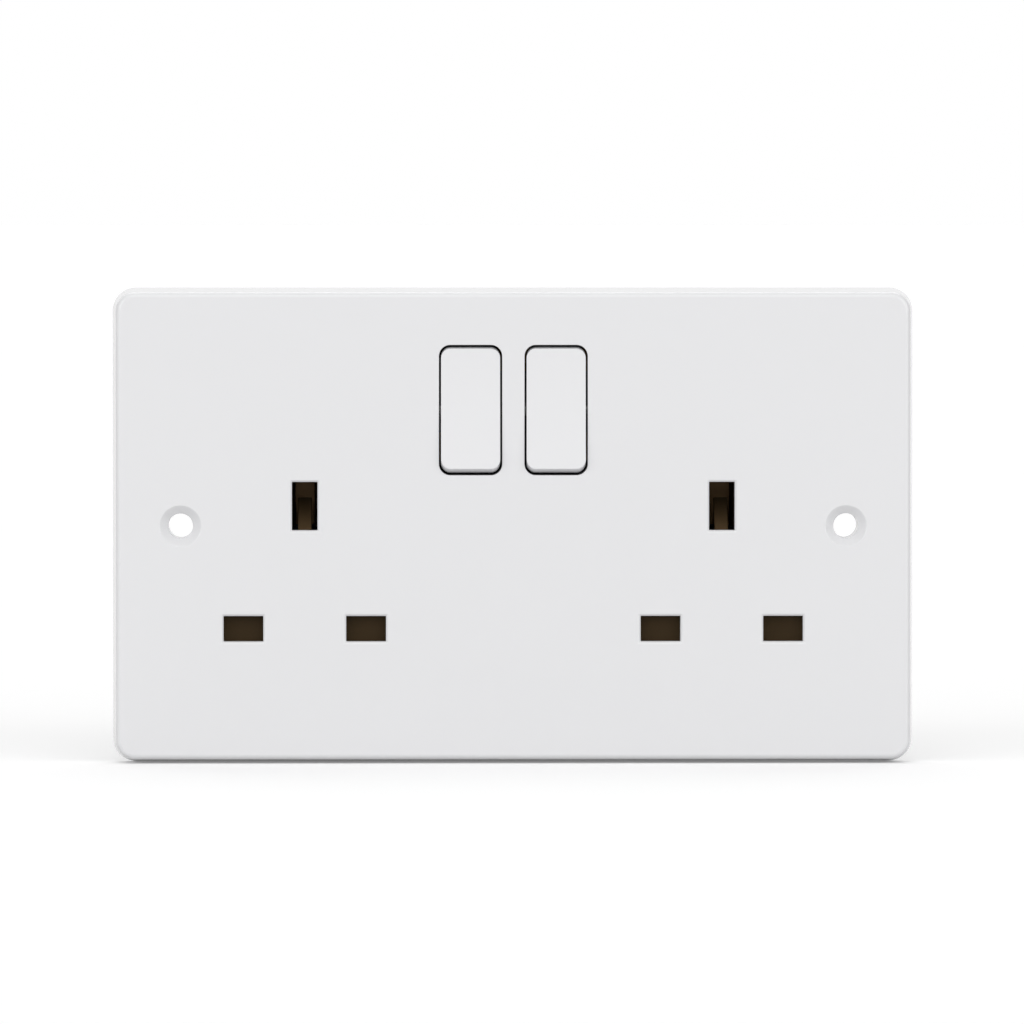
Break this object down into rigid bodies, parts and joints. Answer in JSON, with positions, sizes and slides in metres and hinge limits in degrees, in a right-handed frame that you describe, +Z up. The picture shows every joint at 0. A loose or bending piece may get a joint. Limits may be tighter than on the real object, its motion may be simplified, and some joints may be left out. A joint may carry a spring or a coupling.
{
  "type": "twin switched socket outlet",
  "caption": "Wall socket outlet for square-pin plugs: a flat plate with shuttered pin slots, rocker switches and countersunk fixing holes, with switch works, contacts and terminals behind.",
  "frame": {"origin": "midway between the two fixing holes, on the wall plane that the plate's rim stands on", "axes": "+X to the right as seen from the front, +Y into the wall, +Z up"},
  "size_m": [0.1456, 0.0293, 0.0862],
  "materials": {
    "white_moulding": "glossy white urea moulding",
    "dark_moulding": "fine matt dark moulding",
    "spring_steel": "bright drawn wire",
    "plunger_plastic": "satin natural moulding",
    "brown_plastic": "satin brown moulding",
    "silver_alloy": "bright silver alloy",
    "plated_steel": "zinc plated",
    "clamp_screw_brass": "turned",
    "contact_brass": "rolled and pressed"
  },
  "bodies": {
    "base": {"front_plate": "white_moulding", "rear_housing": "dark_moulding", "assembly_screws": "plated_steel", "fixed_contact_tips": "silver_alloy", "live_bar": "contact_brass", "live_contact_left": "contact_brass", "live_contact_right": "contact_brass", "neutral_strip": "contact_brass", "earth_strip": "contact_brass", "shutter_spring_left": "spring_steel", "shutter_spring_right": "spring_steel", "live_terminal": "contact_brass", "neutral_terminal": "contact_brass", "earth_terminal_left": "contact_brass", "earth_terminal_right": "contact_brass"},
    "rocker_left": {"rocker_left": "white_moulding", "plunger_spring_left": "spring_steel"},
    "plunger_left": {"plunger_left": "plunger_plastic"},
    "blade_left": {"contact_blade_left": "contact_brass", "moving_tip_left": "silver_alloy"},
    "shutter_left": {"shutter_left": "brown_plastic"},
    "rocker_right": {"rocker_right": "white_moulding", "plunger_spring_right": "spring_steel"},
    "plunger_right": {"plunger_right": "plunger_plastic"},
    "blade_right": {"contact_blade_right": "contact_brass", "moving_tip_right": "silver_alloy"},
    "shutter_right": {"shutter_right": "brown_plastic"},
    "live_terminal_screw": {"live_terminal_screw": "clamp_screw_brass"},
    "neutral_terminal_screw": {"neutral_terminal_screw": "clamp_screw_brass"},
    "earth_terminal_screw_left": {"earth_terminal_screw_left": "clamp_screw_brass"},
    "earth_terminal_screw_right": {"earth_terminal_screw_right": "clamp_screw_brass"}
  },
  "joints": [
    {"name": "rocker_left_hinge", "type": "hinge", "parent": "base", "child": "rocker_left", "pos_m": [-0.00775, -0.0068, 0.021], "axis": [1, 0, 0], "range_deg": [0, 8]},
    {"name": "blade_left_hinge", "type": "hinge", "parent": "base", "child": "blade_left", "pos_m": [-0.00775, 0.0033, 0.021], "axis": [1, 0, 0], "range_deg": [-19, 0]},
    {"name": "plunger_left_slide", "type": "slide", "parent": "rocker_left", "child": "plunger_left", "axis": [0, -0.9976, 0.0698], "range_m": [0, 0.001], "stiffness_N_per_m": 600, "springref_m": -0.002, "deforming": ["plunger_spring_left"]},
    {"name": "shutter_left_slide", "type": "slide", "parent": "base", "child": "shutter_left", "axis": [0, 0, -1], "range_m": [0, 0.006], "stiffness_N_per_m": 150, "springref_m": -0.004, "deforming": ["shutter_spring_left"]},
    {"name": "rocker_right_hinge", "type": "hinge", "parent": "base", "child": "rocker_right", "pos_m": [0.00775, -0.0068, 0.021], "axis": [1, 0, 0], "range_deg": [0, 8]},
    {"name": "blade_right_hinge", "type": "hinge", "parent": "base", "child": "blade_right", "pos_m": [0.00775, 0.0033, 0.021], "axis": [1, 0, 0], "range_deg": [-19, 0]},
    {"name": "plunger_right_slide", "type": "slide", "parent": "rocker_right", "child": "plunger_right", "axis": [0, -0.9976, 0.0698], "range_m": [0, 0.001], "stiffness_N_per_m": 600, "springref_m": -0.002, "deforming": ["plunger_spring_right"]},
    {"name": "shutter_right_slide", "type": "slide", "parent": "base", "child": "shutter_right", "axis": [0, 0, -1], "range_m": [0, 0.006], "stiffness_N_per_m": 150, "springref_m": -0.004, "deforming": ["shutter_spring_right"]},
    {"name": "live_terminal_screw_travel", "type": "slide", "parent": "base", "child": "live_terminal_screw", "axis": [0, -1, 0], "range_m": [0, 0.0035]},
    {"name": "neutral_terminal_screw_travel", "type": "slide", "parent": "base", "child": "neutral_terminal_screw", "axis": [0, -1, 0], "range_m": [0, 0.0035]},
    {"name": "earth_terminal_screw_left_travel", "type": "slide", "parent": "base", "child": "earth_terminal_screw_left", "axis": [0, -1, 0], "range_m": [0, 0.0035]},
    {"name": "earth_terminal_screw_right_travel", "type": "slide", "parent": "base", "child": "earth_terminal_screw_right", "axis": [0, -1, 0], "range_m": [0, 0.0035]}
  ],
  "couplings": [
    {"joint": "blade_left_hinge", "follows": "rocker_left_hinge", "ratio": -2.375},
    {"joint": "blade_right_hinge", "follows": "rocker_right_hinge", "ratio": -2.375}
  ]
}
